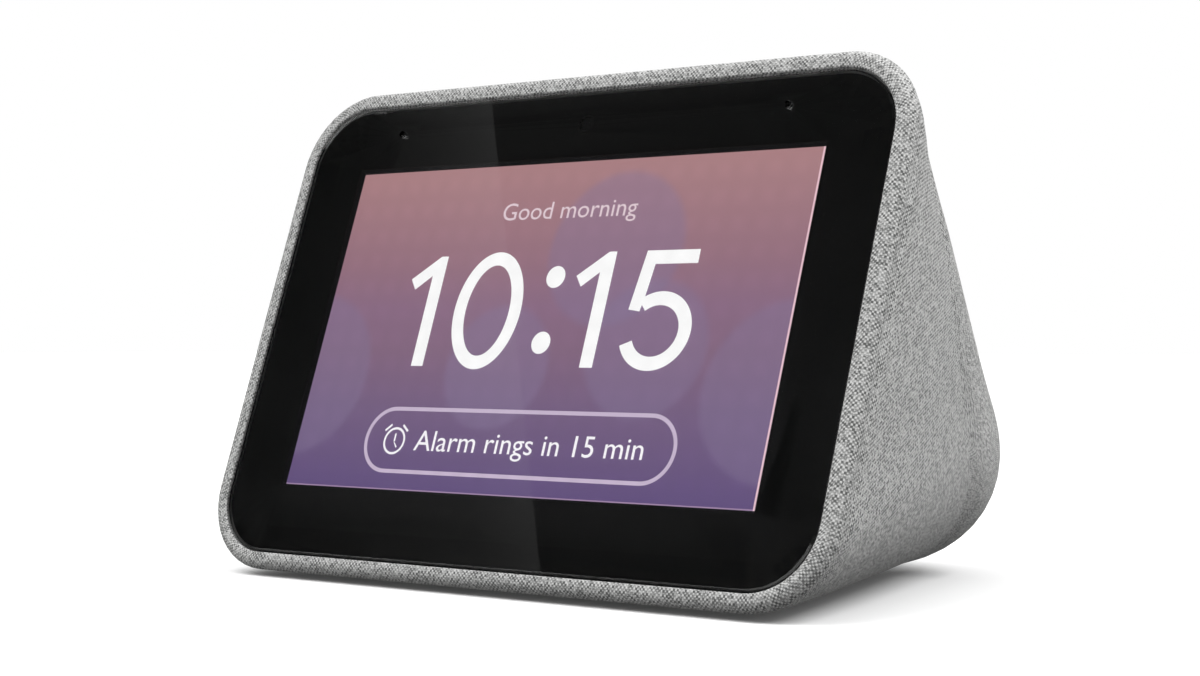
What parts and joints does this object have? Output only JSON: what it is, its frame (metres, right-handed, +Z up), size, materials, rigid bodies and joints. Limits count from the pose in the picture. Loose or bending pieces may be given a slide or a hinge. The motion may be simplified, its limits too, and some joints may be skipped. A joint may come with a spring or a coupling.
{
  "type": "smart display speaker",
  "caption": "Fabric-covered wedge speaker with a leaning touch screen, volume keys behind the ridge, a mute slider and ports at the rear.",
  "frame": {"origin": "on the table under the middle of the body: bottom centre of its bounding box", "axes": "the screen faces -Y and leans back 20 degrees, +X is to the right seen from the front, +Z is up"},
  "size_m": [0.114, 0.079, 0.0759],
  "materials": {
    "knit_fabric": "light grey melange weave",
    "shell_plastic": "moulded ABS",
    "cover_glass": "polished",
    "black_ink": "printed",
    "clear_film": "clear film",
    "black_foam": "closed-cell foam",
    "frame_plastic": "moulded ABS",
    "lcd_glass": "polished",
    "steel_sheet": "pressed sheet",
    "circuit_board": "solder mask",
    "screw_steel": "zinc plated",
    "ribbon_film": "polyimide film",
    "spreader_aluminium": "sheet",
    "thermal_rubber": "silicone pad",
    "chip_plastic": "moulded",
    "box_plastic": "moulded ABS",
    "surround_rubber": "butyl",
    "cone_paper": "pressed paper, stood in by plastic",
    "copper_coil": "enamelled copper, stood in by brass",
    "spider_cloth": "resin-stiffened cloth",
    "magnet_steel": "turned",
    "ferrite": "ground ferrite",
    "piston_plastic": "moulded",
    "panel_plastic": "fine texture",
    "socket_steel": "nickel plated",
    "key_plastic": "fine texture",
    "base_plastic": "fine texture",
    "foot_rubber": "matt rubber"
  },
  "bodies": {
    "case": {"backlight": "steel_sheet", "base_plate": "base_plastic", "base_screws": "screw_steel", "board_chips": "chip_plastic", "board_screws": "screw_steel", "box_screws": "screw_steel", "cover_glass": "cover_glass", "display_frame": "frame_plastic", "display_ribbon": "ribbon_film", "display_screws": "screw_steel", "driver_basket": "steel_sheet", "driver_gasket": "black_foam", "driver_surround": "surround_rubber", "fabric_cover": "knit_fabric", "glass_gasket": "black_foam", "heat_spreader": "spreader_aluminium", "housing": "shell_plastic", "key_board": "circuit_board", "key_switches": "chip_plastic", "lcd_cell": "lcd_glass", "lid_screws": "screw_steel", "light_sensor": "circuit_board", "magnet": "ferrite", "main_board": "circuit_board", "mic_board_left": "circuit_board", "mic_board_right": "circuit_board", "mic_gasket_left": "foot_rubber", "mic_gasket_right": "foot_rubber", "mute_switch": "chip_plastic", "port_board": "circuit_board", "port_panel": "panel_plastic", "port_ribbon": "ribbon_film", "power_jack": "chip_plastic", "power_pin": "socket_steel", "radiator_surround_left": "surround_rubber", "radiator_surround_right": "surround_rubber", "rubber_foot": "foot_rubber", "shield_can": "steel_sheet", "speaker_box": "box_plastic", "speaker_box_lid": "box_plastic", "spider": "spider_cloth", "thermal_pad": "thermal_rubber", "top_plate": "magnet_steel", "touch_sensor": "clear_film", "usb_socket": "socket_steel", "usb_tongue": "chip_plastic", "wifi_antenna": "ribbon_film", "window_mask": "black_ink", "yoke": "magnet_steel"},
    "volume_down": {"volume_down_key": "key_plastic", "volume_down_plunger": "chip_plastic"},
    "volume_up": {"volume_up_key": "key_plastic", "volume_up_plunger": "chip_plastic"},
    "mute": {"mute_slider": "key_plastic"},
    "cone": {"driver_cone": "cone_paper", "dust_cap": "cone_paper", "voice_coil": "copper_coil"},
    "radiator_left": {"radiator_piston_left": "piston_plastic"},
    "radiator_right": {"radiator_piston_right": "piston_plastic"}
  },
  "joints": [
    {"name": "volume_down_press", "type": "slide", "parent": "case", "child": "volume_down", "axis": [0, -0.7156, -0.6985], "range_m": [0, 0.00035], "stiffness_N_per_m": 4000},
    {"name": "volume_up_press", "type": "slide", "parent": "case", "child": "volume_up", "axis": [0, -0.7156, -0.6985], "range_m": [0, 0.00035], "stiffness_N_per_m": 4000},
    {"name": "mute_slide", "type": "slide", "parent": "case", "child": "mute", "axis": [1, 0, 0], "range_m": [0, 0.002]},
    {"name": "cone_stroke", "type": "slide", "parent": "case", "child": "cone", "axis": [0, 0.7156, 0.6985], "range_m": [-0.001, 0.001], "stiffness_N_per_m": 1200, "deforming": ["driver_surround", "spider"]},
    {"name": "radiator_left_stroke", "type": "slide", "parent": "case", "child": "radiator_left", "axis": [-1, 0, 0], "range_m": [-0.0012, 0.0012], "stiffness_N_per_m": 600, "deforming": ["radiator_surround_left"]},
    {"name": "radiator_right_stroke", "type": "slide", "parent": "case", "child": "radiator_right", "axis": [1, 0, 0], "range_m": [-0.0012, 0.0012], "stiffness_N_per_m": 600, "deforming": ["radiator_surround_right"]}
  ]
}
